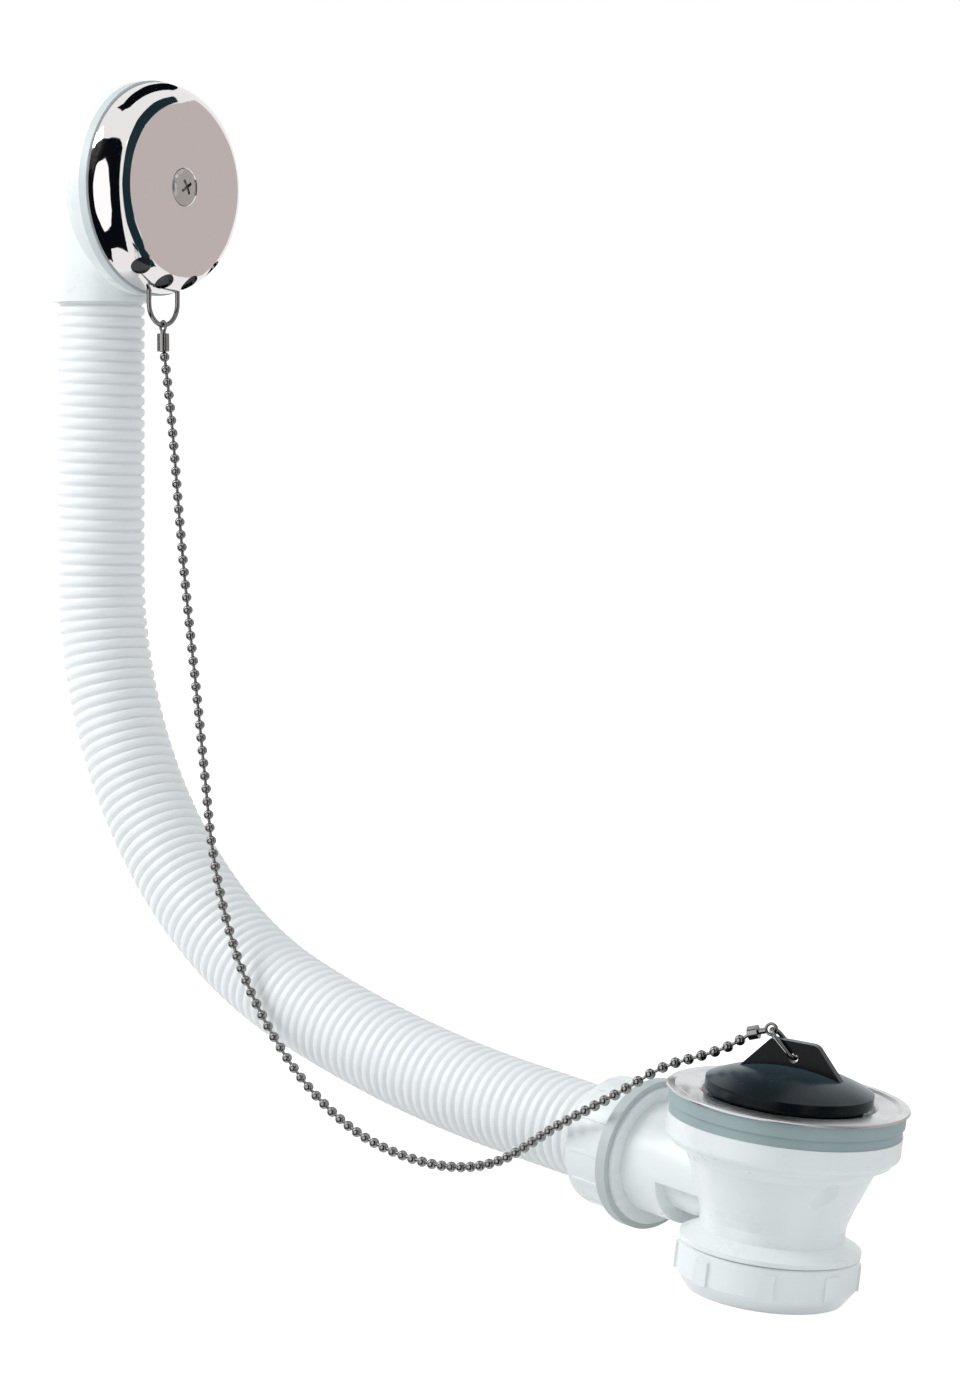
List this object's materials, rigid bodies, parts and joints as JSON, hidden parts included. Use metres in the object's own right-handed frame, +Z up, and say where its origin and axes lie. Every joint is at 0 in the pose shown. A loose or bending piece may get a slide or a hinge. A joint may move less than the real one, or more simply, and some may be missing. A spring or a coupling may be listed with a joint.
{
  "type": "bath waste with overflow",
  "caption": "Bath waste with a steel flange, black rubber plug on a bead chain, corrugated white hose and a round chrome overflow head.",
  "frame": {"origin": "on the waste's axis, in the plane between the two flange gaskets where the bath's floor is clamped", "axes": "+Z up out of the bath's floor along the waste's axis, +X from the overflow head towards the waste"},
  "size_m": [0.3829, 0.0722, 0.3135],
  "materials": {
    "chrome_plate": "polished chrome plate on pressed metal",
    "bright_screw": "bright zinc or stainless screw",
    "stainless_steel": "pressed stainless steel, satin",
    "chain_metal": "plated chain and wire",
    "brass": "turned brass insert",
    "white_plastic": "moulded white plastic, semi-gloss",
    "white_hose": "flexible white plastic hose",
    "grey_rubber": "soft grey rubber",
    "black_rubber": "glossy black rubber"
  },
  "bodies": {
    "root": {"overflow_faceplate": "chrome_plate", "overflow_screw": "bright_screw", "overflow_gasket": "grey_rubber", "overflow_elbow": "white_plastic", "overflow_insert": "brass", "hose": "white_hose", "chain_stirrup": "chain_metal", "upper_coupling": "chain_metal", "bead_chain": "chain_metal", "lower_coupling": "chain_metal", "plug_link": "chain_metal", "plug": "black_rubber", "strainer_flange": "stainless_steel", "waste_screw": "bright_screw", "waste_insert": "brass", "upper_gasket": "grey_rubber", "lower_gasket": "grey_rubber", "waste_body": "white_plastic", "outlet_nut": "white_plastic", "outlet_seal": "black_rubber", "outlet_slip_ring": "white_plastic", "side_nut": "white_plastic", "side_collar": "grey_rubber", "side_seal": "black_rubber"}
  },
  "joints": []
}
